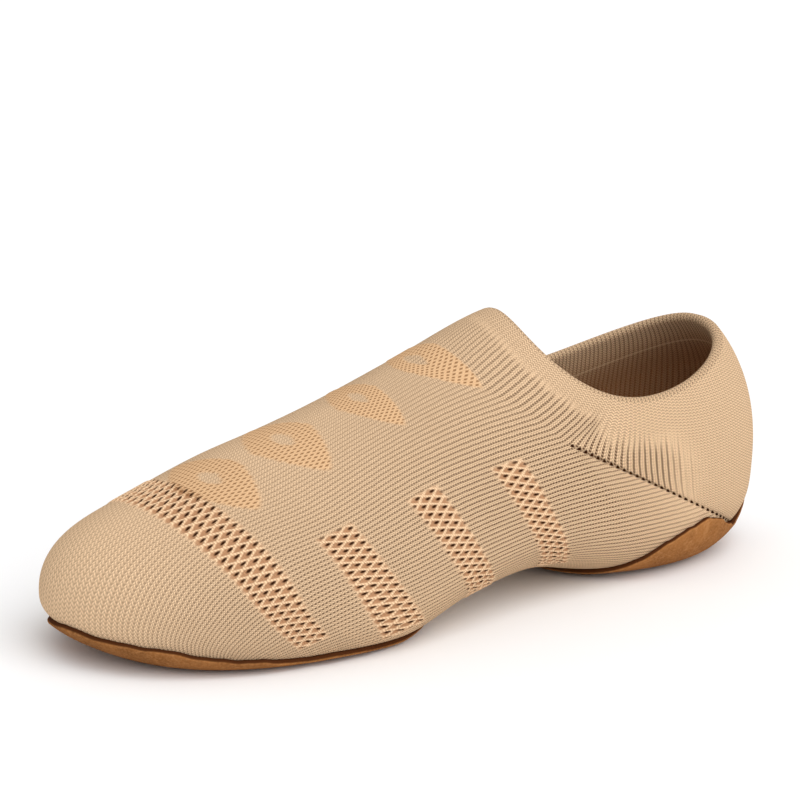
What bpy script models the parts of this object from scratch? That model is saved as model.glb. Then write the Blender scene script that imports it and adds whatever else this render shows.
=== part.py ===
"""Slip-on knitted dance practice shoe for the left foot, with a split suede sole.

The shoe is a soft knitted sock that is closed all round the foot and open only
at the collar. Two thin suede pads are stitched under it, an oval one under the
forefoot and a diamond one under the heel whose corners turn up the heel's back
and sides. A thin foam insole lies inside.

Frame: +X towards the toe, +Y towards the outer side of a left foot, +Z up, the
floor at zero. Sizes are in millimetres and become metres as the nodes are made.
"""
import math

import bpy
import numpy as np

# Overall sizes
LENGTH = 245.0
BALL_WIDTH = 83.0
THROAT_HEIGHT = 86.0

# Thicknesses and the clearance left between neighbouring pieces
KNIT_WALL = 2.0
COLLAR_WALL = 3.2
COLLAR_BAND = 14.0
COLLAR_STEP = 2.0
SUEDE = 2.0
FOAM = 2.6
CLEARANCE = 0.6

# Lengths over which the plan of the sock rounds off at its ends
HEEL_ROUND = 58.0
TOE_ROUND = 64.0
END_POWER = 2.15

# Height the sock's floor is held at, and how softly the floor meets the sides
FLOOR = SUEDE + CLEARANCE
FLOOR_BLEND = 3.0
FIELD_SCALE = 30.0

# Cross sections of the sock, a row per station from heel to toe
# at: share of LENGTH; centre and half: shares of BALL_WIDTH
# under, belly and top: shares of THROAT_HEIGHT; square_low and square_high: section powers
SECTION_COLUMNS = ("at", "centre", "half", "under", "belly", "top", "square_low", "square_high")
SECTIONS = (
    (0.00, -0.006, 0.405, -0.035, 0.29, 1.010, 2.60, 2.35),
    (0.18, -0.006, 0.410, -0.035, 0.29, 1.010, 2.70, 2.30),
    (0.30, 0.020, 0.410, 0.010, 0.29, 0.995, 2.60, 2.15),
    (0.42, 0.045, 0.405, 0.075, 0.30, 0.965, 2.40, 1.95),
    (0.54, 0.055, 0.450, 0.045, 0.27, 0.840, 2.50, 1.85),
    (0.66, 0.043, 0.510, -0.045, 0.21, 0.700, 2.80, 1.85),
    (0.76, 0.027, 0.510, -0.050, 0.20, 0.605, 3.00, 1.90),
    (0.88, 0.010, 0.490, -0.035, 0.18, 0.530, 3.00, 2.00),
    (1.00, -0.030, 0.490, 0.030, 0.18, 0.545, 2.80, 2.10),
)

# Courses of the knitted tube, from its closed start under the toes to the collar
# low_x, top_x and from_x: shares of half the LENGTH; low_z, top_z, dip_z and from_z: shares of
# THROAT_HEIGHT; half: share of BALL_WIDTH; the course is the loop seen from its own centre
COURSE_COLUMNS = ("at", "low_x", "low_z", "top_x", "top_z", "half", "dip_x", "dip_z", "from_x", "from_z")
COURSES = (
    (0.00, 0.686, 0.02, 0.686, 0.02, 0.00, 0.00, 0.00, 0.73, 0.21),
    (0.04, 0.637, 0.02, 0.784, 0.02, 0.19, 0.00, 0.00, 0.73, 0.21),
    (0.10, 0.571, 0.02, 0.914, 0.03, 0.39, 0.00, 0.00, 0.73, 0.21),
    (0.16, 0.506, 0.02, 0.996, 0.16, 0.46, 0.00, 0.00, 0.72, 0.23),
    (0.22, 0.441, 0.02, 0.955, 0.35, 0.47, 0.00, 0.00, 0.65, 0.26),
    (0.30, 0.359, 0.02, 0.824, 0.51, 0.48, 0.00, 0.00, 0.57, 0.28),
    (0.42, 0.180, 0.05, 0.620, 0.63, 0.49, 0.00, 0.00, 0.39, 0.33),
    (0.54, -0.065, 0.08, 0.400, 0.77, 0.43, 0.00, 0.00, 0.15, 0.40),
    (0.66, -0.343, 0.07, 0.230, 0.86, 0.41, 0.00, 0.00, -0.11, 0.44),
    (0.76, -0.653, 0.02, 0.120, 0.89, 0.41, 0.02, -0.07, -0.37, 0.49),
    (0.84, -0.963, 0.12, 0.030, 0.925, 0.40, 0.05, -0.14, -0.47, 0.51),
    (0.92, -1.010, 0.59, -0.060, 0.95, 0.37, 0.08, -0.21, -0.52, 0.58),
    (1.00, -0.956, 0.895, -0.150, 0.976, 0.35, 0.10, -0.28, -0.54, 0.65),
)
COURSE_STEPS = 41
WALES = 46
POLE_HOLE = 0.4
LIP_STEPS = 3

# Outline of each suede pad, as reach from its middle along the sock's surface
# turn: degrees away from the toe; outer and inner: reach as a share of the pad's own half length
PAD_COLUMNS = ("turn", "outer", "inner")
FOREFOOT_PAD_X = 0.548
FOREFOOT_PAD_HALF = 56.0
FOREFOOT_OUTLINE = (
    (0, 1.01, 1.01),
    (15, 0.95, 0.98),
    (30, 0.87, 0.90),
    (45, 0.78, 0.80),
    (60, 0.715, 0.74),
    (75, 0.68, 0.71),
    (90, 0.675, 0.70),
    (105, 0.71, 0.725),
    (120, 0.78, 0.78),
    (135, 0.865, 0.875),
    (150, 0.94, 0.96),
    (165, 0.97, 0.985),
    (180, 0.975, 0.975),
)
HEEL_PAD_X = -0.640
HEEL_PAD_HALF = 46.0
HEEL_OUTLINE = (
    (0, 0.91, 0.91),
    (20, 0.87, 0.87),
    (42, 0.82, 0.82),
    (62, 0.84, 0.84),
    (80, 0.87, 0.87),
    (96, 0.885, 0.885),
    (112, 0.86, 0.86),
    (130, 0.80, 0.80),
    (146, 0.82, 0.82),
    (160, 0.98, 0.98),
    (172, 1.14, 1.14),
    (180, 1.18, 1.18),
)
PAD_EYE = 0.36
PAD_RINGS = 9
PAD_SPOKES = 42
PAD_CROWDING = 0.85

# The insole: how much of the sock's inside it fills, lengthwise and across
INSOLE_FILL = 0.925
INSOLE_ACROSS = 0.72
INSOLE_ROWS = 22
INSOLE_FILES = 9
INSOLE_CLEARANCE = 0.6

# Colour and roughness of each material
KNIT_LOOK = ((0.66, 0.47, 0.28), 0.9)
SUEDE_LOOK = ((0.40, 0.18, 0.06), 0.95)
FOAM_LOOK = ((0.52, 0.38, 0.24), 0.9)

# Numeric settings of the surface finder
HALVINGS = 36
NUDGE = 0.02
FINE = 60
METRES = 0.001


def column(table, names, name):
    """One named column of a table."""
    place = names.index(name)
    return np.array([row[place] for row in table], dtype=float)


def smooth(known, values, wanted):
    """Read a smooth curve through the given values, straight past either end."""
    held = np.clip(wanted, known[0], known[-1])
    span = np.clip(np.searchsorted(known, held, side="right") - 1, 0, len(known) - 2)
    slopes = np.gradient(values, known)
    width = known[span + 1] - known[span]
    t = (held - known[span]) / width
    start = (2 * t**3 - 3 * t**2 + 1) * values[span] + (t**3 - 2 * t**2 + t) * width * slopes[span]
    end = (3 * t**2 - 2 * t**3) * values[span + 1] + (t**3 - t**2) * width * slopes[span + 1]
    return start + end


def section(x):
    """The sock's cross section at each x, as a dictionary of lengths and powers."""
    at = column(SECTIONS, SECTION_COLUMNS, "at")
    units = {
        "centre": BALL_WIDTH,
        "half": BALL_WIDTH,
        "under": THROAT_HEIGHT,
        "belly": THROAT_HEIGHT,
        "top": THROAT_HEIGHT,
        "square_low": 1.0,
        "square_high": 1.0,
    }
    share = x / LENGTH + 0.5
    return {
        name: unit * smooth(at, column(SECTIONS, SECTION_COLUMNS, name), share)
        for name, unit in units.items()
    }


def ends(x):
    """How far each x has gone into the rounded heel or toe, zero between them and one at the tip."""
    heel = np.clip((HEEL_ROUND - LENGTH / 2 - x) / HEEL_ROUND, 0, None)
    toe = np.clip((x - LENGTH / 2 + TOE_ROUND) / TOE_ROUND, 0, None)
    return heel + toe


def sock(points):
    """Below zero inside the sock's outer face and above zero outside it."""
    x, y, z = points[..., 0], points[..., 1], points[..., 2]
    cut = section(x)
    across = np.abs(y - cut["centre"]) / cut["half"]
    plan = (across**END_POWER + ends(x) ** END_POWER) ** (1 / END_POWER)
    upper_half = z > cut["belly"]
    reach = np.where(upper_half, cut["top"] - cut["belly"], cut["belly"] - cut["under"])
    rise = np.abs(z - cut["belly"]) / reach
    power = np.where(upper_half, cut["square_high"], cut["square_low"])
    shell = FIELD_SCALE * ((plan**power + rise**power) ** (1 / power) - 1)
    ground = FLOOR - z
    near = np.clip(FLOOR_BLEND - np.abs(shell - ground), 0, None)
    return np.maximum(shell, ground) + near**2 / (4 * FLOOR_BLEND)


def outward(points):
    """Unit directions that point straight out of the sock's face."""
    steps = np.eye(3) * NUDGE
    rise = np.stack([sock(points + step) - sock(points - step) for step in steps], axis=-1)
    return rise / np.linalg.norm(rise, axis=-1, keepdims=True)


def land(eyes, ways):
    """Where each line of sight from inside meets the sock's outer face."""
    near = np.zeros(ways.shape[:-1])
    far = np.full(ways.shape[:-1], LENGTH)
    ways = ways / np.linalg.norm(ways, axis=-1, keepdims=True)
    for _ in range(HALVINGS):
        middle = (near + far) / 2
        inside = sock(eyes + ways * middle[..., None]) < 0
        near = np.where(inside, middle, near)
        far = np.where(inside, far, middle)
    return eyes + ways * near[..., None]


def guides(shares):
    """The loops that the courses are aimed at, as a dictionary of columns of lengths."""
    at = column(COURSES, COURSE_COLUMNS, "at")
    units = {
        "low_x": LENGTH / 2,
        "low_z": THROAT_HEIGHT,
        "top_x": LENGTH / 2,
        "top_z": THROAT_HEIGHT,
        "half": BALL_WIDTH,
        "dip_x": LENGTH / 2,
        "dip_z": THROAT_HEIGHT,
        "from_x": LENGTH / 2,
        "from_z": THROAT_HEIGHT,
    }
    return {
        name: (unit * smooth(at, column(COURSES, COURSE_COLUMNS, name), shares))[:, None]
        for name, unit in units.items()
    }


def even_shares():
    """Shares of the way to the collar that space the courses evenly on their longer side."""
    fine = np.linspace(0, 1, FINE * COURSE_STEPS)
    guide = guides(fine)
    low = np.hypot(np.diff(guide["low_x"][:, 0]), np.diff(guide["low_z"][:, 0]))
    top = np.hypot(np.diff(guide["top_x"][:, 0]), np.diff(guide["top_z"][:, 0]))
    run = np.concatenate([[0], np.cumsum(np.maximum(low, top))])
    steps = np.linspace(0, run[-1], COURSE_STEPS + 1)
    steps[0] = steps[1] * POLE_HOLE
    return np.interp(steps, run, fine)


def courses(shares):
    """Loops of the sock's outer face at the given shares of the way to the collar."""
    guide = guides(shares)
    turn = 2 * math.pi * np.arange(WALES)[None, :] / WALES
    side = np.sin(turn)
    along = (1 + np.cos(turn)) / 2
    x = guide["low_x"] + (guide["top_x"] - guide["low_x"]) * along + guide["dip_x"] * side**2
    z = guide["low_z"] + (guide["top_z"] - guide["low_z"]) * along + guide["dip_z"] * side**2
    eye_y = section(guide["from_x"][:, 0])["centre"][:, None]
    y = eye_y + guide["half"] * side
    eyes = np.stack(np.broadcast_arrays(guide["from_x"], eye_y, guide["from_z"]), axis=-1)
    aims = np.stack(np.broadcast_arrays(x, y, z), axis=-1)
    return land(eyes, aims - eyes)


def add_node(name, points, faces, look):
    """Make one named object with its own material from millimetre points."""
    colour, roughness = look
    mesh = bpy.data.meshes.new(name)
    mesh.from_pydata([tuple(point) for point in points * METRES], [], faces)
    mesh.validate()
    for polygon in mesh.polygons:
        polygon.use_smooth = True
    material = bpy.data.materials.new(name + "_material")
    material.use_nodes = True
    shader = material.node_tree.nodes["Principled BSDF"]
    shader.inputs["Base Color"].default_value = (*colour, 1.0)
    shader.inputs["Roughness"].default_value = roughness
    shader.inputs["Metallic"].default_value = 0.0
    mesh.materials.append(material)
    node = bpy.data.objects.new(name, mesh)
    bpy.context.scene.collection.objects.link(node)


def tube_faces(loops, around):
    """Quads between neighbouring loops of points, each loop with the same count."""
    faces = []
    for loop in range(loops - 1):
        for step in range(around):
            a = loop * around + step
            b = loop * around + (step + 1) % around
            faces.append((a, b, b + around, a + around))
    return faces


def upper_shape():
    """Points and faces of the knitted sock, outer face first and then its lining side."""
    outer = courses(even_shares())
    normal = outward(outer)
    run = np.linalg.norm(np.diff(outer, axis=0), axis=-1)
    to_collar = np.zeros(outer.shape[:2])
    to_collar[:-1] = np.cumsum(run[::-1], axis=0)[::-1]
    banded = np.clip((COLLAR_BAND - to_collar) / COLLAR_STEP, 0, 1)
    wall = KNIT_WALL + (COLLAR_WALL - KNIT_WALL) * banded
    inner = outer - normal * wall[..., None]
    up = outer[-1] - outer[-2]
    up -= normal[-1] * np.sum(up * normal[-1], axis=-1, keepdims=True)
    up /= np.linalg.norm(up, axis=-1, keepdims=True)
    radius = COLLAR_WALL / 2
    middle = (outer[-1] + inner[-1]) / 2
    lip = [
        middle + radius * (math.cos(angle) * normal[-1] + math.sin(angle) * up)
        for angle in np.linspace(0, math.pi, LIP_STEPS + 2)[1:-1]
    ]
    loops = np.concatenate([outer, np.array(lip), inner[::-1]])
    start = outer[0].mean(axis=0)
    poles = np.array([start, start + (0, 0, KNIT_WALL)])
    points = np.concatenate([loops.reshape(-1, 3), poles])
    faces = tube_faces(len(loops), WALES)
    outer_end = len(loops) * WALES
    last = outer_end - WALES
    for step in range(WALES):
        after = (step + 1) % WALES
        faces.append((outer_end, after, step))
        faces.append((outer_end + 1, last + step, last + after))
    return points, faces


def pad_shape(middle_x, half, outline):
    """Points and faces of a suede pad that hugs the underside of the sock."""
    x = middle_x * LENGTH / 2
    y = section(np.array([x]))["centre"][0]
    eye = np.array([x, y, PAD_EYE * THROAT_HEIGHT])
    turns = column(outline, PAD_COLUMNS, "turn")
    outer_reach = column(outline, PAD_COLUMNS, "outer")
    inner_reach = column(outline, PAD_COLUMNS, "inner")
    around = np.concatenate([turns, 360 - turns[-2:0:-1]])
    reaches = np.concatenate([outer_reach, inner_reach[-2:0:-1]]) * half
    around = np.concatenate([around - 360, around, around + 360])
    spokes = 360 * np.arange(PAD_SPOKES) / PAD_SPOKES
    edge = smooth(around, np.tile(reaches, 3), spokes)
    spoke = np.radians(spokes)[:, None]
    lift = np.radians(np.linspace(-90, 0, FINE))[None, :]
    ways = np.stack(
        np.broadcast_arrays(np.cos(spoke) * np.cos(lift), np.sin(spoke) * np.cos(lift), np.sin(lift)),
        axis=-1,
    )
    trail = land(np.broadcast_to(eye, ways.shape), ways)
    run = np.zeros(trail.shape[:2])
    run[:, 1:] = np.cumsum(np.linalg.norm(np.diff(trail, axis=1), axis=-1), axis=1)
    rings = (np.arange(1, PAD_RINGS + 1) / PAD_RINGS) ** PAD_CROWDING
    lifts = np.array([
        [np.interp(edge[row] * ring, run[row], lift[0]) for row in range(PAD_SPOKES)]
        for ring in rings
    ])
    spoke = spoke[:, 0][None, :]
    ways = np.stack(
        np.broadcast_arrays(np.cos(spoke) * np.cos(lifts), np.sin(spoke) * np.cos(lifts), np.sin(lifts)),
        axis=-1,
    )
    skin = land(np.broadcast_to(eye, ways.shape), ways)
    normal = outward(skin)
    inner = skin + normal * CLEARANCE
    outer = skin + normal * (CLEARANCE + SUEDE)
    loops = np.concatenate([inner, outer[::-1]])
    hub = land(eye[None], np.array([[0.0, 0.0, -1.0]]))[0]
    hub_out = outward(hub[None])[0]
    hubs = np.array([hub + hub_out * CLEARANCE, hub + hub_out * (CLEARANCE + SUEDE)])
    points = np.concatenate([loops.reshape(-1, 3), hubs])
    faces = tube_faces(len(loops), PAD_SPOKES)
    top = len(loops) * PAD_SPOKES
    last = top - PAD_SPOKES
    for step in range(PAD_SPOKES):
        after = (step + 1) % PAD_SPOKES
        faces.append((top, after, step))
        faces.append((top + 1, last + step, last + after))
    return points, [face[::-1] for face in faces]


def insole_shape():
    """Points and faces of the foam insole lying on the sock's floor."""
    bend = np.linspace(-math.pi / 2, math.pi / 2, INSOLE_ROWS)
    x = np.sin(bend) * INSOLE_FILL * LENGTH / 2
    cut = section(x)
    plan = (1 - ends(x) ** END_POWER) ** (1 / END_POWER)
    half = cut["half"] * plan * INSOLE_ACROSS
    file = np.linspace(-1, 1, INSOLE_FILES)[None, :]
    y = cut["centre"][:, None] + half[:, None] * file
    height = np.broadcast_to(cut["belly"][:, None], y.shape)
    eyes = np.stack(np.broadcast_arrays(x[:, None], y, height), axis=-1)
    skin = land(eyes, np.broadcast_to(np.array([0.0, 0.0, -1.0]), eyes.shape))
    up = -outward(skin)
    low = skin + up * (KNIT_WALL + INSOLE_CLEARANCE)
    high = skin + up * (KNIT_WALL + INSOLE_CLEARANCE + FOAM)
    points = np.concatenate([low.reshape(-1, 3), high.reshape(-1, 3)])
    count = INSOLE_ROWS * INSOLE_FILES
    faces = []
    for row in range(INSOLE_ROWS - 1):
        for step in range(INSOLE_FILES - 1):
            a = row * INSOLE_FILES + step
            b = a + 1
            faces.append((a, b, b + INSOLE_FILES, a + INSOLE_FILES))
            faces.append((count + a, count + a + INSOLE_FILES, count + b + INSOLE_FILES, count + b))
    border = list(range(INSOLE_FILES))
    border += [row * INSOLE_FILES + INSOLE_FILES - 1 for row in range(1, INSOLE_ROWS)]
    border += [(INSOLE_ROWS - 1) * INSOLE_FILES + step for step in range(INSOLE_FILES - 2, -1, -1)]
    border += [row * INSOLE_FILES for row in range(INSOLE_ROWS - 2, 0, -1)]
    for place, a in enumerate(border):
        b = border[(place + 1) % len(border)]
        faces.append((b, a, count + a, count + b))
    return points, faces


def build():
    """Clear the scene, make every piece and set the whole shoe over the origin."""
    for thing in list(bpy.data.objects):
        bpy.data.objects.remove(thing)
    pieces = {
        "knit_upper": (upper_shape(), KNIT_LOOK),
        "forefoot_sole": (pad_shape(FOREFOOT_PAD_X, FOREFOOT_PAD_HALF, FOREFOOT_OUTLINE), SUEDE_LOOK),
        "heel_sole": (pad_shape(HEEL_PAD_X, HEEL_PAD_HALF, HEEL_OUTLINE), SUEDE_LOOK),
        "insole": (insole_shape(), FOAM_LOOK),
    }
    everything = np.concatenate([points for (points, _), _ in pieces.values()])
    low = everything.min(axis=0)
    middle = (low + everything.max(axis=0)) / 2
    seat = np.array([middle[0], middle[1], low[2]])
    for name, ((points, faces), look) in pieces.items():
        add_node(name, points - seat, faces, look)


build()
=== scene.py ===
"""Looks of a knitted dance practice shoe, built around its fixed frame.

The formulas for the sock and its pads are those of the part, in millimetres and in
the part's own place before it is seated; SEAT moves them onto the frame. The fine
sock is laid out as four patches of knitting: the foot tube, the heel pocket under
the row of eyelets, the ankle above it, and the collar's rolled edge and inner band.
"""
import math

import bpy
import numpy as np
from mathutils import Matrix, Vector


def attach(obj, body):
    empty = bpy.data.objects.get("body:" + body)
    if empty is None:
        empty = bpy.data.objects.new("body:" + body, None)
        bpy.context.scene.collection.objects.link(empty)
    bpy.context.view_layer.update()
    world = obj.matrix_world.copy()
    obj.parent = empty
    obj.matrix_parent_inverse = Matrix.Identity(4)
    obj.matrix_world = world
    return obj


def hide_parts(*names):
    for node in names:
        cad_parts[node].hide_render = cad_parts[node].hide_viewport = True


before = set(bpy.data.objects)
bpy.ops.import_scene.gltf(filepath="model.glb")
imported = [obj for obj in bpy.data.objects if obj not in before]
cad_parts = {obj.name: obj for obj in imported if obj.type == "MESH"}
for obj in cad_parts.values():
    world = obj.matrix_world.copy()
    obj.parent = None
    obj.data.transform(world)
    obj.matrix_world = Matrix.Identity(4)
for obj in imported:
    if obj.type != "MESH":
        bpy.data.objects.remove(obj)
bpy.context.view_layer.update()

METRES = 0.001
SEAT = np.array([-0.794, 2.947, 0.0])

# Sizes of the part
LENGTH = 245.0
BALL_WIDTH = 83.0
THROAT_HEIGHT = 86.0
KNIT_WALL = 2.0
COLLAR_WALL = 3.2
HEM_DEPTH = 14.0
LIP_DEPTH = 20.0
SUEDE = 1.3
CLEARANCE = 0.3
HEEL_ROUND = 58.0
TOE_ROUND = 64.0
END_POWER = 2.15
FLOOR = SUEDE + CLEARANCE
FLOOR_BLEND = 3.0
FIELD_SCALE = 30.0

# Soft fill at the back of the heel: its depth, the span along x, and its height and reach along z
HEEL_FILL = 1.3
HEEL_FILL_FROM_TO = (-62.0, -122.0)
HEEL_FILL_AT = 42.0
HEEL_FILL_REACH = 26.0

# Cross sections of the sock, heel to toe
SECTION_COLUMNS = ("at", "centre", "half", "under", "belly", "top", "square_low", "square_high")
SECTIONS = (
    (0.00, -0.006, 0.405, -0.035, 0.29, 1.010, 2.60, 2.35),
    (0.18, -0.006, 0.410, -0.035, 0.29, 1.010, 2.70, 2.30),
    (0.30, 0.020, 0.410, 0.010, 0.29, 0.995, 2.60, 2.15),
    (0.42, 0.045, 0.405, 0.075, 0.30, 0.965, 2.40, 1.95),
    (0.54, 0.055, 0.450, 0.045, 0.27, 0.840, 2.50, 1.85),
    (0.66, 0.043, 0.510, -0.045, 0.21, 0.700, 2.80, 1.85),
    (0.76, 0.027, 0.510, -0.050, 0.20, 0.605, 3.00, 1.90),
    (0.88, 0.010, 0.490, -0.035, 0.18, 0.530, 3.00, 2.00),
    (1.00, -0.030, 0.490, 0.030, 0.18, 0.545, 2.80, 2.10),
)

# Courses of the foot tube, from the toe's closed start to where the heel was turned, and the collar's edge
COURSE_COLUMNS = ("at", "low_x", "low_z", "top_x", "top_z", "half", "dip_x", "dip_z", "from_x", "from_z")
COURSES = (
    (0.00, 0.686, 0.02, 0.686, 0.02, 0.00, 0.00, 0.00, 0.73, 0.21),
    (0.04, 0.637, 0.02, 0.784, 0.02, 0.19, 0.00, 0.00, 0.73, 0.21),
    (0.10, 0.571, 0.02, 0.914, 0.03, 0.39, 0.00, 0.00, 0.73, 0.21),
    (0.16, 0.506, 0.02, 0.996, 0.16, 0.46, 0.00, 0.00, 0.72, 0.23),
    (0.22, 0.441, 0.02, 0.955, 0.35, 0.47, 0.00, 0.00, 0.65, 0.26),
    (0.30, 0.359, 0.02, 0.824, 0.51, 0.48, 0.00, 0.00, 0.57, 0.28),
    (0.42, 0.180, 0.05, 0.620, 0.63, 0.49, 0.00, 0.00, 0.39, 0.33),
    (0.54, -0.065, 0.08, 0.400, 0.77, 0.43, 0.00, 0.00, 0.15, 0.40),
    (0.66, -0.300, 0.07, 0.250, 0.86, 0.41, -0.04, 0.00, -0.05, 0.44),
    (0.74, -0.440, 0.03, 0.150, 0.885, 0.41, -0.11, 0.03, -0.20, 0.46),
)
COLLAR_EDGE = (1.00, -0.956, 0.895, -0.150, 0.976, 0.35, 0.10, -0.28, -0.54, 0.65)

# The first course at the toe, as a share of the second one's distance from the closed start
TOE_START = 0.3

# The row of eyelets at the heel, a plane seen edge on from the side
GORE_AT_ZERO = 59.7
GORE_SLOPE = 0.483
GORE_EYE_X = -85.0
GORE_LOW = 9.0
GORE_TURN = math.radians(165)

# Knitting: widths of a wale on foot and collar, length of a course, and rows of stitches in a course
WALE_PITCH = 1.50
COURSE_PITCH = 0.76
ROWS_PER_COURSE = 0.85
COLLAR_PITCH = 1.55

# Meshes: vertices round the foot, and rows of faces in each patch
MESH_AROUND = 280
MESH_FOOT = 190
MESH_POCKET = 44
MESH_ANKLE = 66
MESH_BAND = 20
CORNER_KEYS = ("foot_uv", "collar_uv", "band", "gap", "net", "tuck", "gore", "inside")

# Ankle: how far the rear wales lean back, where they start on the collar's edge and how they leave
REAR_LEAN = 1.5
RIM_START = 0.94
REAR_LEAVE = np.array([0.5, 0.0, 0.0])
ANKLE_PULL = 0.7

# How far the courses lag behind the ridge on their way down the sides: courses per squared wale
LAG_COURSES = (0.0, 78.0, 105.0, 145.0, 185.0, 260.0)
LAG = (0.0113, 0.0113, 0.0071, 0.0061, 0.0070, 0.0050)
LAG_WALES = 53.0

# Net stripes: first course, columns of openings, first and last wale from the ridge
NET_COURSES = 3.6
STRIPES = (
    (81.6, 4, -1.0, 49.5),
    (110.8, 4, 27.0, 57.3),
    (148.5, 4, 29.3, 61.5),
    (188.3, 4, 30.6, 63.5),
)

# Lozenges knitted into the instep: wale and course of each middle, and half their size
MOTIF = ((1.9, 105.0), (1.9, 135.5), (1.9, 174.0), (1.9, 218.0))
MOTIF_HALF = (13.5, 12.5)
MOTIF_POWER = 1.35

# Relief of the knit: strands above openings, raised lozenges, and the depth and width of each pinch
NET_STRAND = 0.55
NET_SINK = 0.25
TUCK_RISE = 0.22
PINCHES = ((0.45, 1.1), (0.5, 7.0))

# How far the gaps between wales open, from zero to one, shown by a bump and by painted shade in the gaps
INSTEP_GAP = 0.45
SIDE_GAP = 0.45
WAIST_GAP = 0.10
TOE_GAP = 0.70
POCKET_GAP = (0.90, 0.65)
REAR_GAP = (0.42, 1.0)
FRONT_GAP = (0.45, 1.0)
BAND_GAP = 0.8
LINING_GAP = 0.9

# Collar: wall at each depth inside it, and rows and height of its rolled edge
BAND_DEPTHS = (0.0, 8.0, HEM_DEPTH, LIP_DEPTH)
BAND_WALLS = (COLLAR_WALL, COLLAR_WALL, KNIT_WALL + 0.5, KNIT_WALL - 0.2)
LIP_ROWS = 10
LIP_HEIGHT = 1.1

# Distances that stand for no eyelet near and for deep inside the shoe, where the painted inside shade is
# darkest
FAR = 60.0
DEEP = 40.0

# Suede pads: outline as reach from the middle along the sock, degrees away from the toe
PAD_COLUMNS = ("turn", "outer", "inner")
FOREFOOT_PAD_X = 0.548
FOREFOOT_PAD_HALF = 56.0
FOREFOOT_OUTLINE = (
    (0, 1.01, 1.01),
    (15, 0.95, 0.98),
    (30, 0.87, 0.90),
    (45, 0.78, 0.80),
    (60, 0.715, 0.74),
    (75, 0.68, 0.71),
    (90, 0.675, 0.70),
    (105, 0.71, 0.725),
    (120, 0.78, 0.78),
    (135, 0.865, 0.875),
    (150, 0.94, 0.96),
    (165, 0.97, 0.985),
    (180, 0.975, 0.975),
)
HEEL_PAD_X = -0.640
HEEL_PAD_HALF = 46.0
HEEL_OUTLINE = (
    (0, 0.91, 0.91),
    (20, 0.87, 0.87),
    (42, 0.82, 0.82),
    (62, 0.84, 0.84),
    (80, 0.87, 0.87),
    (96, 0.885, 0.885),
    (112, 0.86, 0.86),
    (130, 0.80, 0.80),
    (146, 0.82, 0.82),
    (160, 0.98, 0.98),
    (172, 1.14, 1.14),
    (180, 1.18, 1.18),
)

# Mesh of a pad: height of its eye, rings and spokes, and how its rings crowd towards the edge
PAD_EYE = 0.36
PAD_RINGS = 60
PAD_SPOKES = 300
PAD_CROWDING = 0.85

# Cut edge of a pad: its roundness, its turns, and the size, count and start of its waves
PAD_EDGE_ROUND = 0.5
PAD_SUNK = 0.35
PAD_RIM_TURNS = (-70, -45, -15, 15, 45, 70)
PAD_RIM_SQUARE = 1.15
PAD_WANDER = ((0.25, 11, 1.0), (0.18, 23, 0.0), (0.1, 47, 2.0))

# Colours of the yarn, the suede, the insole and the floor, with painted shade for the yarn's gaps, holes and
# the inside of the shoe
YARN_LIGHT = (0.97, 0.69, 0.44)
YARN_MIDDLE = (0.90, 0.62, 0.38)
YARN_TUCK = (0.68, 0.41, 0.21)
YARN_BACK = (0.40, 0.20, 0.10)
# Painted shade in the gaps between wales and between the stitches' legs
YARN_GAP_SHADE = (0.055, 0.018, 0.005)
# Painted shade in the gaps of the tuck lozenges
YARN_TUCK_GAP_SHADE = (0.26, 0.115, 0.042)
# Painted shade in the holes of the net and of the heel's eyelets
YARN_HOLE_SHADE = (0.035, 0.010, 0.003)
# Painted shade deep inside the shoe
YARN_INSIDE_SHADE = (0.27, 0.088, 0.016)
SUEDE_DARK = (0.18, 0.070, 0.020)
SUEDE_LIGHT = (0.33, 0.135, 0.040)
SUEDE_TIP = (0.48, 0.225, 0.085)
SUEDE_CUT = (0.07, 0.022, 0.007)
FOAM_DARK = (0.36, 0.22, 0.11)
FOAM_LIGHT = (0.48, 0.31, 0.17)
FLOOR_WHITE = (0.92, 0.92, 0.925, 1)

# Studio light: where the soft sun stands, how wide it is in degrees, its power and the room's own
SUN_FROM = (-0.1, 0.9, 1.0)
SUN_WIDTH = 70.0
SUN_POWER = 2.0
ROOM_POWER = 0.70
FLOOR_REACH = 9

# Camera: where it stands in the part's own place, its directions, half the picture and focal length
CAMERA_AT = np.array([380.87, 497.47, 201.76])
CAMERA_RIGHT = (-0.80591, 0.59156, 0.02460)
CAMERA_UP = (-0.11394, -0.19574, 0.97401)
HALF_PICTURE = 400.0
FOCAL_LENGTH = 2202.5


def column(table, names, name):
    """One named column of a table."""
    place = names.index(name)
    return np.array([row[place] for row in table], dtype=float)


def smooth(known, values, wanted):
    """Read a smooth curve through the given values, straight past either end."""
    held = np.clip(wanted, known[0], known[-1])
    span = np.clip(np.searchsorted(known, held, side="right") - 1, 0, len(known) - 2)
    slopes = np.gradient(values, known)
    width = known[span + 1] - known[span]
    t = (held - known[span]) / width
    start = (2 * t**3 - 3 * t**2 + 1) * values[span] + (t**3 - 2 * t**2 + t) * width * slopes[span]
    end = (3 * t**2 - 2 * t**3) * values[span + 1] + (t**3 - t**2) * width * slopes[span + 1]
    return start + end


def step(low, high, value):
    """A soft step from zero at low to one at high."""
    t = np.clip((value - low) / (high - low), 0, 1)
    return t * t * (3 - 2 * t)


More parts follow.
